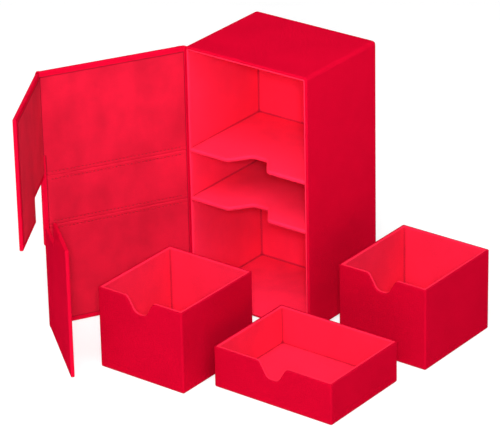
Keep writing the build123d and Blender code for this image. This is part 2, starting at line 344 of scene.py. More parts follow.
def face_to_wall(inset, from_level, to_level):
    """The same quarter round the other way: from a face to an outer wall."""
    return wall_to_face(inset, to_level, from_level)[::-1]


def shift(profile, start, side=1):
    """A profile with its insets counted from start: inwards with side 1, outwards with side -1."""
    return [(start + side * inset, level) for inset, level in profile]


def upright_rings(outline, profile, radius):
    """Rings of an outline that stands upright, with the profile's levels along y."""
    return [[(a, level, b) for a, b in ring(outline, inset, radius)] for inset, level in profile]


def loft(rings, cap_start=True, cap_end=True):
    """Skin through rings of equally many points; the end rings are filled where asked."""
    bm = bmesh.new()
    rows = [[bm.verts.new(point) for point in points] for points in rings]
    for near, far in zip(rows, rows[1:]):
        for i in range(len(near)):
            bm.faces.new((near[i - 1], near[i], far[i], far[i - 1]))
    if cap_start:
        bm.faces.new(rows[0])
    if cap_end:
        bm.faces.new(rows[-1])
    bmesh.ops.recalc_face_normals(bm, faces=bm.faces)
    return bm


def grid(points):
    """Open sheet through rows of points."""
    bm = bmesh.new()
    rows = [[bm.verts.new(point) for point in row] for row in points]
    for near, far in zip(rows, rows[1:]):
        for i in range(1, len(near)):
            bm.faces.new((near[i - 1], near[i], far[i], far[i - 1]))
    return bm


def smooth_step(value, low, high):
    """0 up to low, 1 from high on, and a smooth rise between them."""
    t = min(max((value - low) / (high - low), 0), 1)
    return t * t * (3 - 2 * t)


def mark_painted_edge_shade(bm, distances):
    """Marks how far each point lies in the band of painted shade along a lining's edge, from its distance to that
    edge.
    """
    layer = bm.verts.layers.float.new(PAINTED_EDGE_MARK)
    for vert, distance in zip(bm.verts, distances):
        vert[layer] = 1 - smooth_step(distance, PAINTED_EDGE_FULL, PAINTED_EDGE_END)


def piece(name, bm, material, body, nodes=(), place=None, flip=False, thick=0.0, crisp=False):
    """Turns a mesh into a piece of the object that stands for nodes and rides on a body, if one is named."""
    if flip:
        bmesh.ops.reverse_faces(bm, faces=bm.faces)
    mesh = bpy.data.meshes.new(name)
    bm.to_mesh(mesh)
    bm.free()
    if place is not None:
        mesh.transform(place)
    mesh.shade_smooth()
    if crisp:
        mesh.set_sharp_from_angle(angle=CRISP_ANGLE)
    mesh.materials.append(material)
    obj = bpy.data.objects.new(name, mesh)
    bpy.context.scene.collection.objects.link(obj)
    if thick:
        sheet = obj.modifiers.new("sheet", "SOLIDIFY")
        sheet.thickness = thick
        sheet.offset = -1
    normals = obj.modifiers.new("normals", "WEIGHTED_NORMAL")
    normals.keep_sharp = True
    if body:
        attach(obj, body)
    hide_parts(*nodes)
    return obj


# Materials

def nodes_of(name):
    """A new material with its nodes and its main shader."""
    material = bpy.data.materials.new(name)
    material.use_nodes = True
    tree = material.node_tree
    return material, tree, tree.nodes["Principled BSDF"]


def add(tree, kind, links=(), **values):
    """A node with its properties and inputs set, linked from other nodes' sockets."""
    node = tree.nodes.new(kind)
    for key, value in values.items():
        if key in node.inputs:
            node.inputs[key].default_value = value
        else:
            setattr(node, key, value)
    for key, socket in links:
        tree.links.new(socket, node.inputs[key])
    return node


def place_socket(tree):
    """The shaded point's place on the object."""
    return add(tree, "ShaderNodeTexCoord").outputs["Object"]


def cloud(tree, place, scale, detail=2.0, rough=0.5, stretch=None):
    """Soft noise around 0.5."""
    if stretch:
        place = add(tree, "ShaderNodeMapping", [("Vector", place)], Scale=stretch).outputs["Vector"]
    made = add(tree, "ShaderNodeTexNoise", [("Vector", place)], Scale=scale, Detail=detail, Roughness=rough)
    return made.outputs["Fac"]


def span(tree, value, low, high, from_low=NOISE_LOW, from_high=NOISE_HIGH):
    """A value stretched and held between low and high."""
    made = add(tree, "ShaderNodeMapRange", [("Value", value)])
    for key, number in (("From Min", from_low), ("From Max", from_high), ("To Min", low), ("To Max", high)):
        made.inputs[key].default_value = number
    return made.outputs["Result"]


def tint(tree, value, low, high):
    """Colour between two tones."""
    ramp = add(tree, "ShaderNodeValToRGB", [("Fac", value)])
    first, last = ramp.color_ramp.elements
    first.color, last.color = (*low, 1), (*high, 1)
    first.position, last.position = NOISE_LOW, NOISE_HIGH
    return ramp.outputs["Color"]


def sum_of(tree, a, b, share):
    """A share of a, added to b."""
    made = add(tree, "ShaderNodeMath", [(0, a)], operation="MULTIPLY_ADD")
    tree.links.new(b, made.inputs[2])
    made.inputs[1].default_value = share
    return made.outputs[0]


def scaled(colour, share):
    """A lighter or darker colour of the same hue."""
    return tuple(c * share for c in colour)


def multiplied(tree, a, b, factor=1.0):
    """Colour a multiplied by b, as strongly as factor says."""
    made = add(tree, "ShaderNodeMix", data_type="RGBA", blend_type="MULTIPLY")
    made.inputs["Factor"].default_value = factor
    tree.links.new(a, made.inputs["A"])
    tree.links.new(b, made.inputs["B"])
    return made.outputs["Result"]


def leatherette(name, colour):
    """Matt coated leatherette with a fine pebbled grain and no shine."""
    material, tree, shader = nodes_of(name)
    place = place_socket(tree)
    patches = cloud(tree, place, scale=28, detail=3)
    shade = tint(tree, patches, scaled(colour, 0.95), scaled(colour, 1.04))
    pebbles = add(
        tree, "ShaderNodeTexVoronoi", [("Vector", place)],
        Scale=1300.0, feature="SMOOTH_F1", Smoothness=0.6,
    )
    creases = cloud(tree, place, scale=900, detail=4, rough=0.6)
    height = sum_of(tree, creases, pebbles.outputs["Distance"], share=0.6)
    bump = add(tree, "ShaderNodeBump", [("Height", height)], Strength=0.8, Distance=0.2 * MM)
    tree.links.new(shade, shader.inputs["Base Color"])
    tree.links.new(bump.outputs["Normal"], shader.inputs["Normal"])
    tree.links.new(span(tree, creases, low=0.52, high=0.66), shader.inputs["Roughness"])
    shader.inputs["Specular IOR Level"].default_value = 0.0
    return material


def nap(tree, place, colour, mottle):
    """Colour of a brushed nap that lies in cloudy patches."""
    brushed = cloud(tree, place, scale=32, detail=3, rough=0.55)
    strokes = cloud(tree, place, scale=70, stretch=(1.0, 1.0, 0.45))
    patches = sum_of(tree, strokes, brushed, share=0.5)
    lie = span(tree, patches, low=NOISE_LOW, high=NOISE_HIGH, from_low=0.55, from_high=0.95)
    return tint(tree, lie, scaled(colour, 1 - mottle), scaled(colour, 1 + 0.5 * mottle))


def painted_corner_and_edge_shade(tree):
    """Painted shade: darker in tight corners, from ambient occlusion, and along the marked edges of a lining."""
    # Painted shade in tight corners, from ambient occlusion
    around = add(tree, "ShaderNodeAmbientOcclusion", samples=8, Distance=PAINTED_CORNER_REACH)
    corners = span(tree, around.outputs["AO"], low=PAINTED_CORNER_DARKNESS, high=1.0, from_low=0.4, from_high=0.8)
    # Painted shade along the marked edges
    hem = add(tree, "ShaderNodeAttribute", attribute_name=PAINTED_EDGE_MARK).outputs["Fac"]
    edges = span(tree, hem, low=1.0, high=PAINTED_EDGE_DARKNESS, from_low=0, from_high=1)
    return add(tree, "ShaderNodeMath", [(0, corners), (1, edges)], operation="MULTIPLY").outputs[0]


def suede(name, colour, mottle, sheen):
    """Soft brushed lining: cloudy nap, short fibres, a reddish sheen, and painted shade in its creases and along
    its edges.
    """
    material, tree, shader = nodes_of(name)
    place = place_socket(tree)
    fibres = cloud(tree, place, scale=2600, detail=3, rough=0.7)
    flecks = tint(tree, fibres, scaled(WHITE, 0.86), scaled(WHITE, 1.1))
    flecked = multiplied(tree, nap(tree, place, colour, mottle), flecks, factor=0.9)
    shade = multiplied(tree, flecked, painted_corner_and_edge_shade(tree))
    bump = add(tree, "ShaderNodeBump", [("Height", fibres)], Strength=0.6, Distance=0.2 * MM)
    tree.links.new(shade, shader.inputs["Base Color"])
    tree.links.new(bump.outputs["Normal"], shader.inputs["Normal"])
    tree.links.new(span(tree, fibres, low=0.85, high=0.97), shader.inputs["Roughness"])
    shader.inputs["Specular IOR Level"].default_value = 0.08
    shader.inputs["Sheen Weight"].default_value = sheen
    shader.inputs["Sheen Roughness"].default_value = 0.45
    shader.inputs["Sheen Tint"].default_value = (1, 0.14, 0.25, 1)
    return material


def thread():
    """Sewing thread with its twist."""
    colour = (0.33, 0.0024, 0.0134)
    material, tree, shader = nodes_of("thread")
    place = place_socket(tree)
    wave = add(
        tree, "ShaderNodeTexWave", [("Vector", place)],
        Scale=900.0, Distortion=1.0, bands_direction="DIAGONAL",
    )
    twist = wave.outputs["Fac"]
    bump = add(tree, "ShaderNodeBump", [("Height", twist)], Strength=0.5, Distance=0.06 * MM)
    shade = tint(tree, twist, scaled(colour, 0.85), scaled(colour, 1.1))
    tree.links.new(shade, shader.inputs["Base Color"])
    tree.links.new(bump.outputs["Normal"], shader.inputs["Normal"])
    shader.inputs["Roughness"].default_value = 0.5
    shader.inputs["Specular IOR Level"].default_value = 0.15
    return material


def greyboard():
    """Recycled board with short fibres."""
    colour = (0.40, 0.36, 0.31)
    material, tree, shader = nodes_of("greyboard")
    place = place_socket(tree)
    pulp = cloud(tree, place, scale=500, detail=5, rough=0.7)
    specks = cloud(tree, place, scale=1500, rough=0.6, stretch=(1.0, 0.3, 1.0))
    mixed = sum_of(tree, specks, pulp, share=0.4)
    bump = add(tree, "ShaderNodeBump", [("Height", pulp)], Strength=0.3, Distance=0.1 * MM)
    grey = span(tree, mixed, low=0.2, high=0.8, from_low=0.5, from_high=0.9)
    shade = tint(tree, grey, scaled(colour, 0.8), scaled(colour, 1.15))
    tree.links.new(shade, shader.inputs["Base Color"])
    tree.links.new(bump.outputs["Normal"], shader.inputs["Normal"])
    shader.inputs["Roughness"].default_value = 0.92
    shader.inputs["Specular IOR Level"].default_value = 0.2
    return material


def nickel():
    """Plated magnet with faint handling marks."""
    material, tree, shader = nodes_of("nickel")
    marks = cloud(tree, place_socket(tree), scale=400, detail=4, rough=0.6)
    shade = tint(tree, marks, (0.62, 0.60, 0.56), (0.74, 0.72, 0.68))
    tree.links.new(shade, shader.inputs["Base Color"])
    tree.links.new(span(tree, marks, low=0.2, high=0.4), shader.inputs["Roughness"])
    shader.inputs["Metallic"].default_value = 1.0
    return material


LEATHER = leatherette("leatherette", (0.54, 0.0016, 0.0205))
# Darker copy of the leatherette on the trays: painted shade, set to how much light falls on them
TRAY_SKIN_PAINTED_SHADE = leatherette("tray_skin_painted_shade", (0.44, 0.0012, 0.0168))
# Lighter copy of the leatherette on the door, the flaps and the folds: painted light for these panels
COVER_SKIN_PAINTED_LIGHT = leatherette("cover_skin_painted_light", (0.57, 0.0020, 0.0235))
LINING = suede("suede_lining", (0.93, 0.0160, 0.063), mottle=0.07, sheen=0.05)
# Darker copy of the bays' suede inside the trays: painted shade
TRAY_SUEDE_PAINTED_SHADE = suede("tray_suede_painted_shade", (0.80, 0.0125, 0.049), mottle=0.07, sheen=0.05)
# Darker copy of the bays' suede on the door and the flaps: painted shade; its stronger mottle is the nap's own
# pattern
DOOR_SUEDE_PAINTED_SHADE = suede("door_suede_painted_shade", (0.57, 0.0057, 0.0276), mottle=0.17, sheen=0.03)
THREAD = thread()
SLOT_MATERIALS = {
    "leatherette": LEATHER, "lining": LINING, "board": greyboard(), "magnet": nickel(), "thread": THREAD,
}


def dress_nodes():
    """Gives every carried-over solid the finish of its slot."""
    for part in frame["record"]["subparts"]:
        mesh = frame["nodes"][part["node"]].data
        mesh.materials.clear()
        mesh.materials.append(SLOT_MATERIALS[part["material_slot"]])


# Cabinet

def notch_points(mouth, bottom, depth, mouth_r, bottom_r):
    """A finger notch's outline from left to right as (across, depth), depth counted into the board."""
    def corner_radius(at_mouth):
        return mouth_r if at_mouth else bottom_r
    # The outermost points only give the first and the last arc their direction.
    left = [(-mouth, 0), (-mouth / 2, 0), (-bottom / 2, depth)]
    right = [(-across, down) for across, down in reversed(left)]
    return rounded(left + right, corner_radius, closed=False)[1:-1]


def along_normals(points):
    """Unit directions across an open run of points, to its left."""
    made = []
    for i in range(len(points)):
        run = points[min(i + 1, len(points) - 1)] - points[max(i - 1, 0)]
        made.append(Vector((-run.y, run.x)).normalized())
    return made


def shelf_front():
    """A shelf's front edge in plan, left to right, with its notch; its ends reach into the side walls."""
    half = (CABINET_HIGH.x - CABINET_LOW.x) / 2 - WALL + ROLL_END
    notch = [Vector((x, CABINET_LOW.y + d)) for x, d in notch_points(**SHELF_NOTCH)]
    return [Vector((-half, CABINET_LOW.y)), *notch, Vector((half, CABINET_LOW.y))]


def lining_front():
    """Where the bays' lining starts on a shelf, round its notch: a run of points in plan."""
    edge = shelf_front()
    return [p + n * LINING_FRONT for p, n in zip(edge, along_normals(edge))][1:-1]


def cabinet_outline():
    """The cabinet's outline seen from the front, from the skin's lower edge up."""
    return rectangle(CABINET_LOW.x, CABINET_HIGH.x, CABINET_LOW.z + BASE_LIFT, CABINET_HIGH.z)


def cabinet_skin():
    """Leatherette from the back to the middle of the front rim."""
    front, back, r = CABINET_LOW.y, CABINET_HIGH.y, CABINET_EDGE_R
    profile = [(RIM_SPLIT, front + RIM_TUCK)]
    profile += shift(wall_to_face(RIM_ROLL, front + RIM_ROLL, front), RIM_SPLIT, side=-1)
    profile += face_to_wall(CABINET_RIM_R, front, front + CABINET_RIM_R)
    profile += wall_to_face(r, back - r, back)
    bm = loft(upright_rings(cabinet_outline(), profile, r), cap_start=False)
    piece("cabinet_leatherette", bm, LEATHER, "cabinet", ["cabinet_skin"], thick=SHEET)


def cabinet_rim():
    """Suede that meets the leatherette on the front rim and runs into the bays."""
    front = CABINET_LOW.y
    start = RIM_SPLIT + RIM_SLIT
    profile = [(start, front + RIM_TUCK)]
    profile += shift(wall_to_face(RIM_ROLL, front + RIM_ROLL, front), start)
    profile += shift(face_to_wall(RIM_INNER_R, front, front + RIM_INNER_R), WALL, side=-1)
    profile.append((WALL, front + LIP))
    bm = loft(upright_rings(cabinet_outline(), profile, CABINET_EDGE_R), cap_start=False, cap_end=False)
    piece("cabinet_rim_suede", bm, LINING, "cabinet", thick=SHEET)


def base_sheet(name, low, high, body):
    """Sheet glued under a box, its edge set in from the sides."""
    outline = rectangle(low.x, high.x, low.y, high.y)
    half = BASE_THICK / 2
    profile = face_to_wall(half, low.z, low.z + half) + wall_to_face(half, low.z + half, low.z + BASE_THICK)
    rings = []
    for inset, level in profile:
        rings.append([(a, b, level) for a, b in ring(outline, BASE_INSET + inset, BASE_CORNER_R)])
    piece(f"{name}_bottom", loft(rings), LEATHER, body, [f"{name}_base_sheet"])


def bay_lining(name, notched_floor, notched_ceiling):
    """Suede box of one bay: floor, ceiling, sides and back, cut round the notches of its shelves."""
    low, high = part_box(f"{name}_bay_lining")
    inside = PACKED_SHEET + LINING_PROUD
    floor, ceiling = low.z + inside, high.z - inside
    half = high.x - inside
    front, back = CABINET_LOW.y, high.y - inside
    shelf = lining_front()
    behind = front + SHELF_NOTCH["depth"] + 2 * LINING_FRONT
    start = front + LINING_FRONT

    def loop(inset, level, share):
        """Ring round the bay at a depth; share is how far it follows the notches."""
        corner = creased(rectangle(-half + inset, half - inset, floor + inset, ceiling - inset))
        step = CORNER_STEPS + 1
        points = [(a, level, b) for a, b in corner[:step]]
        for p in shelf:
            y = level + share * (p.y - start) * notched_floor
            points.append((p.x, y, floor + inset))
        points += [(a, level, b) for a, b in corner[step:3 * step]]
        for p in reversed(shelf):
            y = level + share * (p.y - start) * notched_ceiling
            points.append((p.x, y, ceiling - inset))
        points += [(a, level, b) for a, b in corner[3 * step:]]
        return points

    rings = [loop(-LINING_PROUD, start, 1), loop(0, start + 2 * LINING_PROUD, 1), loop(0, behind, 0)]
    rings += [loop(inset, level, 0) for inset, level in crease_profile(back, deeper=1)]
    bm = loft(rings, cap_start=False)
    nodes = [f"{name}_bay_lining"]
    piece(f"{name}_bay_suede", bm, LINING, "cabinet", nodes, flip=True, thick=SHEET)


def shelf_edge(name, seam):
    """Suede rolled round a shelf's front edge and into its notch."""
    path = shelf_front()
    normals = along_normals(path)
    rows = []
    for p, n in zip(path, normals):
        tail = p + n * (LINING_FRONT + ROLL_TAIL)
        row = [(tail.x, tail.y, seam + SHELF_HALF)]
        for k in range(ROLL_STEPS + 1):
            t = pi / 2 - pi * k / ROLL_STEPS
            at = p + n * (SHELF_HALF * (1 - cos(t)))
            row.append((at.x, at.y, seam + SHELF_HALF * sin(t)))
        row.append((tail.x, tail.y, seam - SHELF_HALF))
        rows.append(row)
    bm = grid(rows)
    nodes = [f"{name}_shelf_edging"]
    piece(f"{name}_shelf_roll", bm, LINING, "cabinet", nodes, flip=True, thick=SHEET)


# Door and flaps

def panel_rings(outline):
    """Leatherette round a panel: hem on the inner face, rolled edge and outer face."""
    profile = face_to_wall(PANEL_INNER_R, -HEM_DROP, -HEM_DROP - PANEL_INNER_R)
    profile += wall_to_face(PANEL_OUTER_R, -WALL + PANEL_OUTER_R, -WALL)
    return upright_rings(outline, profile, PANEL_CORNER_R)


def tab_heights():
    """The lower and upper end of the door's tab."""
    return LOWER_SEAM - TAB_OVERLAP, UPPER_SEAM + TAB_OVERLAP


def door_skin():
    """The door's leatherette, with the tab between the flaps."""
    low, high = END_GAP, HEIGHT - END_GAP
    tab_low, tab_high = tab_heights()
    tab = DOOR_REACH + TAB_REACH
    outline = [
        (SPINE_GAP, low), (DOOR_END, low), (DOOR_END, tab_low), (tab, tab_low),
        (tab, tab_high), (DOOR_END, tab_high), (DOOR_END, high), (SPINE_GAP, high),
    ]
    bm = loft(panel_rings(outline))
    nodes = ["door_skin"]
    piece("door_leatherette", bm, COVER_SKIN_PAINTED_LIGHT, "door", nodes, DOOR_PLACE, thick=SHEET)


def samples(low, high, step, dense_at, dense_step, reach):
    """Even stops from low to high, closer together near some places."""
    stops = {low, high}
    count = round((high - low) / step)
    stops |= {low + (high - low) * i / count for i in range(count + 1)}
    for place in dense_at:
        around = round(reach / dense_step)
        stops |= {place + i * dense_step for i in range(-around, around + 1)}
    ordered = sorted(s for s in stops if low <= s <= high)
    kept = [ordered[0]]
    for stop in ordered[1:]:
        if stop - kept[-1] > dense_step / 2:
            kept.append(stop)
    kept[-1] = high
    return kept


def seam_rows():
    """Heights of the sewn rows, a pair at each seam."""
    return [seam + side * ROW_OFFSET for seam in (LOWER_SEAM, UPPER_SEAM) for side in (-1, 1)]


def door_groove(z):
    """How far the sewn rows and the creases between the boards pull the lining down."""
    pulled = 0.0
    for row in seam_rows():
        pulled += ROW_SINK * exp(-(((z - row) / GROOVE_WIDTH) ** 2))
    for crease in (LOWER_SEAM, UPPER_SEAM):
        pulled += CREASE_SINK * exp(-(((z - crease) / GROOVE_WIDTH) ** 2))
    return pulled


def rolled_edge(distance, radius):
    """How far a sheet drops near its edge."""
    if distance >= radius:
        return 0.0
    return radius - sqrt(radius ** 2 - (radius - distance) ** 2)


def lining_heights(low, high):
    """Heights of the door lining's rows of points, close together at the seams, the tab and the edges."""
    seams = seam_rows() + [LOWER_SEAM, UPPER_SEAM]
    heights = set(samples(low, high, LINING_STEP, seams, GROOVE_STEP, GROOVE_REACH))
    for k in range(-TAB_STEPS, TAB_STEPS + 1):
        heights |= {edge + k * TAB_SOFTNESS / TAB_STEPS for edge in tab_heights()}
    heights |= {low + stop for stop in LINING_EDGE_STOPS}
    heights |= {high - stop for stop in LINING_EDGE_STOPS}
    return sorted(heights)


def lining_end(z):
    """Where the door's lining ends at a height: at the folds, and inside the hem at the tab."""
    tab_low, tab_high = tab_heights()
    tab_inset = DOOR_END - (DOOR_REACH + TAB_REACH - HEM)
    past_low = smooth_step(z, tab_low - TAB_SOFTNESS, tab_low)
    before_high = smooth_step(-z, -tab_high - TAB_SOFTNESS, -tab_high)
    return DOOR_END - tab_inset * past_low * before_high


def lining_stops(start, end):
    """Stops across the door's lining, close together at its edges."""
    middle = end - start - 2 * LINING_EDGE
    stops = [start + stop for stop in LINING_EDGE_STOPS]
    stops += [start + LINING_EDGE + middle * i / LINING_COLUMNS for i in range(LINING_COLUMNS + 1)]
    stops += [end - stop for stop in reversed(LINING_EDGE_STOPS)]
    return stops


def door_lining():
    """Suede on the door's inner face, from the spine to the folds, inside the hem."""
    low, high = END_GAP + HEM, HEIGHT - END_GAP - HEM
    start = LINING_AT_SPINE
    rows, edges = [], []
    for z in lining_heights(low, high):
        end = lining_end(z)
        row = []
        for u in lining_stops(start, end):
            edge = min(u - start, end - u, z - low, high - z)
            wave = WAVE_HEIGHT * noise.noise(Vector((u, z, 0)) / WAVE_LENGTH)
            sunk = door_groove(z) * smooth_step(u, start, start + GROOVE_FADE)
            row.append((u, wave * min(edge / LINING_EDGE, 1) - sunk - rolled_edge(edge, HEM_DROP), z))
            edges.append(edge)
        rows.append(row)
    bm = grid(rows)
    # Painted shade along the lining's edges
    mark_painted_edge_shade(bm, edges)
    nodes = ["door_lining"]
    piece("door_suede", bm, DOOR_SUEDE_PAINTED_SHADE, "door", nodes, DOOR_PLACE, flip=True, thick=SHEET)


def stitch(bm, start, z):
    """One stitch along the row: a thread that rises out of the lining and dives back."""
    rows = []
    for k in range(STITCH_STEPS + 1):
        t = k / STITCH_STEPS
        rise = sin(pi * t)
        share = STITCH_THIN + (1 - STITCH_THIN) * sqrt(rise) if 0 < t < 1 else STITCH_TIP
        radius = THREAD_R * share
        centre = STITCH_RISE * rise - ROW_SINK - STITCH_DIVE
        row = []
        for i in range(STITCH_SIDES):
            a = 2 * pi * i / STITCH_SIDES
            at = (start + STITCH_LENGTH * t, centre + radius * sin(a), z + radius * cos(a) * THREAD_FLATNESS)
            row.append(bm.verts.new(at))
        rows.append(row)
    for near, far in zip(rows, rows[1:]):
        for i in range(STITCH_SIDES):
            bm.faces.new((near[i - 1], near[i], far[i], far[i - 1]))
    bm.faces.new(rows[0])
    bm.faces.new(rows[-1])


def door_stitches():
    """All stitches of the door's sewn rows."""
    bm = bmesh.new()
    first, last = SPINE_GAP + ROW_END, DOOR_REACH + TAB_REACH - HEM - ROW_END
    count = int((last - first) / STITCH_PITCH)
    for row in seam_rows():
        for i in range(count):
            stitch(bm, first + i * STITCH_PITCH, row)
    bmesh.ops.recalc_face_normals(bm, faces=bm.faces)
    piece("door_stitches", bm, THREAD, "door", ["door_seam_threads"], DOOR_PLACE)


def flap_corners(name, hem, near):
    """An L-shaped flap's outline, drawn in by hem everywhere but at the fold."""
    step, end = FLAP_STEP + hem, FLAP_REACH - hem
    window = UPPER_SEAM + hem
    meeting = (HEIGHT + FLAP_MEETING_GAP) / 2 + hem
    rim = HEIGHT - END_GAP - hem
    corners = [(near, window), (step, window), (step, meeting), (end, meeting), (end, rim), (near, rim)]
    if name == "lower_flap":
        corners = [(a, HEIGHT - b) for a, b in reversed(corners)]
    return corners


def flap_skin(name):
    """Leatherette of one flap."""
    bm = loft(panel_rings(flap_corners(name, 0, FOLD_GAP)))
    nodes = [f"{name}_skin"]
    piece(f"{name}_leatherette", bm, COVER_SKIN_PAINTED_LIGHT, name, nodes, flap_place(name), thick=SHEET)


def flap_lining(name):
    """Suede of one flap, inside the hem and up to the fold."""
    corners = flap_corners(name, HEM, FOLD_GAP + LINING_AT_FOLD)
    profile = [(0, -HEM_DROP - SHEET)] + wall_to_face(HEM_DROP, -HEM_DROP, 0)
    # Rings where the painted shade along the edge fades out
    profile += [(PAINTED_EDGE_FULL, 0), (PAINTED_EDGE_END, 0)]
    rings = upright_rings(corners, profile, PANEL_CORNER_R)
    bm = loft(rings)
    # Painted shade along the suede's edges
    mark_painted_edge_shade(bm, [inset for points, (inset, _) in zip(rings, profile) for _ in points])
    piece(f"{name}_suede", bm, DOOR_SUEDE_PAINTED_SHADE, name, [f"{name}_lining"], flap_place(name))


def ribbon(path, thick, low, high, padding=None, shorter=None):
    """Upright strip along a path in plan.

    Point by point, padding adds to its outer side and shorter cuts both its ends.
    """
    normals = along_normals(path)
    padding = padding or [0] * len(path)
    shorter = shorter or [0] * len(path)
    inner = [p + n * (thick / 2) for p, n in zip(path, normals)]
    outer = [p - n * (thick / 2 + extra) for p, n, extra in zip(path, normals, padding)]
    outline = inner + outer[::-1]
    cuts = shorter + shorter[::-1]
    rings = []
    for k in range(STRIP_STEPS + 1):
        share = k / STRIP_STEPS
        levels = [(low + cut) * (1 - share) + (high - cut) * share for cut in cuts]
        rings.append([(p.x, p.y, level) for p, level in zip(outline, levels)])
    bm = loft(rings, cap_start=False, cap_end=False)
    points, around = list(bm.verts), len(outline)
    for end in (points[:around], points[-around:]):
        for i in range(len(path) - 1):
            bm.faces.new((end[i], end[i + 1], end[around - 2 - i], end[around - 1 - i]))
    bmesh.ops.recalc_face_normals(bm, faces=bm.faces)
    return bm


def in_plan(place, *points):
    """Points given as (along, depth) in a panel's own frame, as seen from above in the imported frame."""
    return [(place @ Vector((a, d, 0))).to_2d() for a, d in points]


def spine_fold():
    """Leatherette strip from the cabinet's left wall to the door, thicker where it meets the door."""
    low, high = END_GAP, HEIGHT - END_GAP
    front = CABINET_LOW.y
    on_wall = [Vector((CABINET_LOW.x + STRIP_IN_WALL, front + d)) for d in STRIP_ON_WALL]
    stops = [SPINE_GAP * k / STRIP_STEPS for k in range(1, STRIP_STEPS + 1)]
    stops += [SPINE_GAP + PANEL_CORNER_R, SPINE_GAP + FOLD_TUCK]
    corner, *on_door = in_plan(DOOR_PLACE, *[(u, -STRIP_DEPTH) for u in [0, *stops]])
    bend = rounded([*on_wall, corner, on_door[0]], STRIP_BEND_R, closed=False)
    wedge = WALL - STRIP_DEPTH - PACKED_SHEET
    padding = [0] * len(bend) + [wedge * smooth_step(u, 0, SPINE_GAP) for u in stops[1:]]
    cuts = [smooth_step(p.y, front, front + STRIP_WALL_CUT_REACH) for p in bend]
    shorter = [STRIP_WALL_CUT * cut - END_GAP for cut in cuts]
    shorter += [END_GAP * (smooth_step(u, 0, SPINE_GAP) - 1) for u in stops[1:]]
    shorter[-1] = STRIP_END_CUT
    bm = ribbon(bend + on_door[1:], PACKED_SHEET, low, high, padding, shorter)
    strip = piece("spine_fold", bm, COVER_SKIN_PAINTED_LIGHT, None, ["spine_hinge"], crisp=True)
    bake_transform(strip)


def fold_ends(name):
    """Lower and upper end of a flap's fold, clear of the door's tab."""
    tab_low, tab_high = tab_heights()
    if name == "lower_flap":
        return END_GAP, tab_low - BEAD_CLEARANCE
    return tab_high + BEAD_CLEARANCE, HEIGHT - END_GAP


def fold_strip(name):
    """Leatherette strip on the outside of a flap's fold."""
    low, high = fold_ends(name)
    place = flap_place(name)
    depth = PACKED_SHEET / 2 - WALL
    bend = DOOR_REACH - PACKED_SHEET / 2 * tan(fold_angle(name) / 2)
    path = in_plan(DOOR_PLACE, (DOOR_END - FOLD_TUCK, depth), (bend, depth))
    path += in_plan(place, (FOLD_GAP + FOLD_TUCK, depth))
    bm = ribbon(rounded(path, FOLD_R, closed=False), PACKED_SHEET, low, high)
    strip = piece(f"{name}_fold_strip", bm, COVER_SKIN_PAINTED_LIGHT, None, [f"{name}_fold"], crisp=True)
    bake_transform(strip)


def fold_valley(name):
    """Suede in the valley on the inside of a flap's fold."""
    low, high = fold_ends(name)
    place = flap_place(name)
    depth = -HEM_DROP - SHEET
    path = in_plan(
        DOOR_PLACE, (DOOR_END - FOLD_TUCK, depth), (DOOR_END + VALLEY_LIP, depth),
        (DOOR_END + VALLEY_STEP, -VALLEY_DOOR_DEPTH),
    )
    path += in_plan(
        place, (FOLD_GAP - VALLEY_STEP, -VALLEY_FLAP_DEPTH), (FOLD_GAP - VALLEY_LIP, depth),
        (FOLD_GAP + FOLD_TUCK, depth),
    )
    bm = ribbon(rounded(path, VALLEY_R, closed=False), SHEET, low + VALLEY_END_GAP, high - VALLEY_END_GAP)
    valley = piece(f"{name}_fold_suede", bm, DOOR_SUEDE_PAINTED_SHADE, None, crisp=True)
    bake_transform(valley)


# Trays

def tray_ring(low, high, inset, level, notched, pressed=False):
    """Ring round a tray at a height; in the front wall it follows the notch where asked."""
    outline = rectangle(low.x, high.x, low.y, high.y)
    points = creased(drawn_in(outline, inset)) if pressed else ring(outline, inset, TRAY_EDGE_R)
    step = CORNER_STEPS + 1
    centre, front = (low.x + high.x) / 2, low.y + inset
    dips = [(centre + x, front, level - (d if notched else 0)) for x, d in notch_points(**TRAY_NOTCH)]
    return [(a, b, level) for a, b in points[:step]] + dips + [(a, b, level) for a, b in points[step:]]


def under_notch(high):
    """Height below a tray's notch where its rings run level again."""
    return high.z - TRAY_NOTCH["depth"] - UNDER_NOTCH


def tray_skin(name, low, high):
    """Leatherette outside a tray and over the rim's outer edge."""
    top, bottom = high.z, low.z + BASE_LIFT
    wall = face_to_wall(TRAY_BOTTOM_R, bottom, bottom + TRAY_BOTTOM_R)
    wall.append((0, under_notch(high)))
    rim = wall_to_face(TRAY_RIM_R, top - TRAY_RIM_R, top)
    rim += shift(face_to_wall(RIM_ROLL, top, top - RIM_ROLL), TRAY_RIM_SPLIT, side=-1)
    rim.append((TRAY_RIM_SPLIT, top - RIM_TUCK))
    rings = [tray_ring(low, high, inset, level, notched=False) for inset, level in wall]
    rings += [tray_ring(low, high, inset, level, notched=True) for inset, level in rim]
    bm = loft(rings, cap_end=False)
    piece(f"{name}_leatherette", bm, TRAY_SKIN_PAINTED_SHADE, name, [f"{name}_skin"], thick=SHEET)


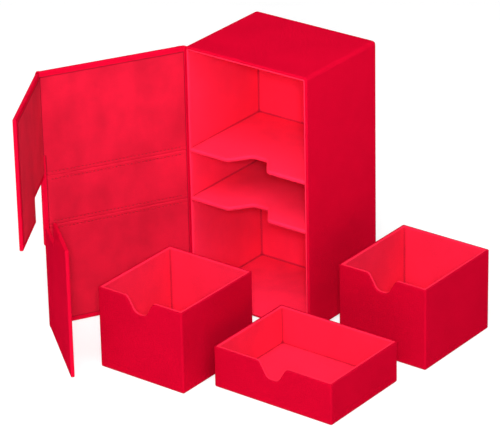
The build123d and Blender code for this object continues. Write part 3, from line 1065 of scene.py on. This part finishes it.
def tray_lining(name, low, high):
    """Suede inside a tray, from where it meets the leatherette on the rim."""
    top, floor = high.z, low.z + WALL
    start = TRAY_RIM_SPLIT + RIM_SLIT
    rim = [(start, top - RIM_TUCK)]
    rim += shift(wall_to_face(RIM_ROLL, top - RIM_ROLL, top), start)
    rim += shift(face_to_wall(RIM_INNER_R, top, top - RIM_INNER_R), WALL, side=-1)
    inside = [(WALL, under_notch(high))]
    inside += shift(crease_profile(floor, deeper=-1), WALL)
    rings = [tray_ring(low, high, inset, level, notched=True) for inset, level in rim]
    rings += [tray_ring(low, high, inset, level, notched=False, pressed=True) for inset, level in inside]
    bm = loft(rings, cap_start=False)
    piece(f"{name}_suede", bm, TRAY_SUEDE_PAINTED_SHADE, name, [f"{name}_lining"], thick=SHEET)


def tray(name):
    """One tray's skin, lining and base sheet."""
    low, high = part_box(f"{name}_skin")
    low.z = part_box(f"{name}_base_sheet")[0].z
    tray_skin(name, low, high)
    tray_lining(name, low, high)
    base_sheet(name, low, high, name)


# Stage, light and camera

def seen_directly(tree):
    """1 for rays that show a background as it is, to the camera, in metal or through glass."""
    rays = add(tree, "ShaderNodeLightPath")
    seen = rays.outputs["Is Camera Ray"]
    for kind in ("Is Glossy Ray", "Is Transmission Ray"):
        either = add(tree, "ShaderNodeMath", [(0, seen), (1, rays.outputs[kind])], operation="MAXIMUM")
        seen = either.outputs[0]
    return seen


def floor_material():
    """Pale floor that shows nearly white to the camera and keeps a soft shadow."""
    material, tree, shader = nodes_of("pale_floor")
    shader.inputs["Base Color"].default_value = (*scaled(WHITE, FLOOR_GREY), 1)
    shader.inputs["Roughness"].default_value = 0.9
    shader.inputs["Specular IOR Level"].default_value = 0.1
    share = add(tree, "ShaderNodeMath", [(0, seen_directly(tree))], operation="MULTIPLY")
    share.inputs[1].default_value = FLOOR_WHITE_SHARE
    white = add(tree, "ShaderNodeEmission", Strength=FLOOR_WHITE)
    sides = [(0, share.outputs[0]), (1, shader.outputs[0]), (2, white.outputs[0])]
    mix = add(tree, "ShaderNodeMixShader", sides)
    tree.links.new(mix.outputs[0], tree.nodes["Material Output"].inputs["Surface"])
    return material


def stage():
    """Wide floor just under the object."""
    bm = bmesh.new()
    bmesh.ops.create_grid(bm, x_segments=1, y_segments=1, size=FLOOR_HALF)
    mesh = bpy.data.meshes.new("floor")
    bm.to_mesh(mesh)
    bm.free()
    mesh.materials.append(floor_material())
    floor = bpy.data.objects.new("floor", mesh)
    floor.location.z = -FLOOR_DROP
    bpy.context.scene.collection.objects.link(floor)


def softbox(name, azimuth, elevation, distance, size, level):
    """Square lamp aimed at the box; level is the brightness it gives a white sheet facing it."""
    lamp = bpy.data.lights.new(name, "AREA")
    lamp.shape = "RECTANGLE"
    lamp.size = size
    lamp.size_y = size
    lamp.energy = level * (pi * distance) ** 2
    az, el = radians(azimuth), radians(elevation)
    towards = Vector((sin(az) * cos(el), -cos(az) * cos(el), sin(el)))
    obj = bpy.data.objects.new(name, lamp)
    obj.location = LIGHT_AIM + towards * distance
    obj.rotation_euler = (-towards).to_track_quat("-Z", "Y").to_euler()
    bpy.context.scene.collection.objects.link(obj)


def surroundings():
    """White to the camera, and a soft light on the object that is dimmer behind it."""
    world = bpy.data.worlds.new("studio")
    bpy.context.scene.world = world
    world.use_nodes = True
    tree = world.node_tree
    around = tree.nodes["Background"]
    around.inputs["Color"].default_value = (*WHITE, 1)
    towards = add(tree, "ShaderNodeTexCoord").outputs["Generated"]
    facing = add(tree, "ShaderNodeVectorMath", [(0, towards)], operation="DOT_PRODUCT")
    facing.inputs[1].default_value = AROUND_FRONT
    strength = span(tree, facing.outputs["Value"], AROUND_DIM, AROUND_BRIGHT, -AROUND_SPREAD, AROUND_SPREAD)
    tree.links.new(strength, around.inputs["Strength"])
    white = add(tree, "ShaderNodeBackground", Strength=1.0)
    white.inputs["Color"].default_value = (*WHITE, 1)
    sides = [(0, seen_directly(tree)), (1, around.outputs[0]), (2, white.outputs[0])]
    mix = add(tree, "ShaderNodeMixShader", sides)
    tree.links.new(mix.outputs[0], tree.nodes["World Output"].inputs["Surface"])


def light():
    """Bright surroundings, a main lamp beside the camera and soft boxes round the object."""
    surroundings()
    for name, place in LAMPS.items():
        softbox(name, **place)


def camera():
    """Camera at the photograph's viewing angle."""
    az, el, roll = CAMERA_AZIMUTH, CAMERA_ELEVATION, CAMERA_ROLL
    sight = Vector((-sin(az) * cos(el), cos(az) * cos(el), -sin(el)))
    level = Vector((cos(az), sin(az), 0))
    upright = level.cross(sight)
    right = cos(roll) * level + sin(roll) * upright
    up = cos(roll) * upright - sin(roll) * level
    lens = bpy.data.cameras.new("camera")
    lens.sensor_width = SENSOR_WIDTH
    lens.lens = FOCAL_PIXELS / IMAGE_WIDTH * SENSOR_WIDTH
    lens.clip_start, lens.clip_end = CLIP_NEAR, CLIP_FAR
    obj = bpy.data.objects.new("camera", lens)
    turn = Matrix((right, up, -sight)).transposed().to_4x4()
    obj.matrix_world = Matrix.Translation(CAMERA_AIM - sight * CAMERA_DISTANCE) @ turn
    bpy.context.scene.collection.objects.link(obj)
    bpy.context.scene.camera = obj


def build():
    """All pieces, then the stage, the light and the camera."""
    dress_nodes()
    cabinet_skin()
    cabinet_rim()
    base_sheet("cabinet", CABINET_LOW, CABINET_HIGH, "cabinet")
    bay_lining("lower", notched_floor=False, notched_ceiling=True)
    bay_lining("middle", notched_floor=True, notched_ceiling=True)
    bay_lining("upper", notched_floor=True, notched_ceiling=False)
    shelf_edge("lower", LOWER_SEAM)
    shelf_edge("upper", UPPER_SEAM)
    door_skin()
    door_lining()
    door_stitches()
    spine_fold()
    for name in FLAPS:
        flap_skin(name)
        flap_lining(name)
        fold_strip(name)
        fold_valley(name)
    for name in TRAYS:
        tray(name)
    stage()
    light()
    camera()


build()
bpy.context.scene.view_settings.view_transform = "Standard"
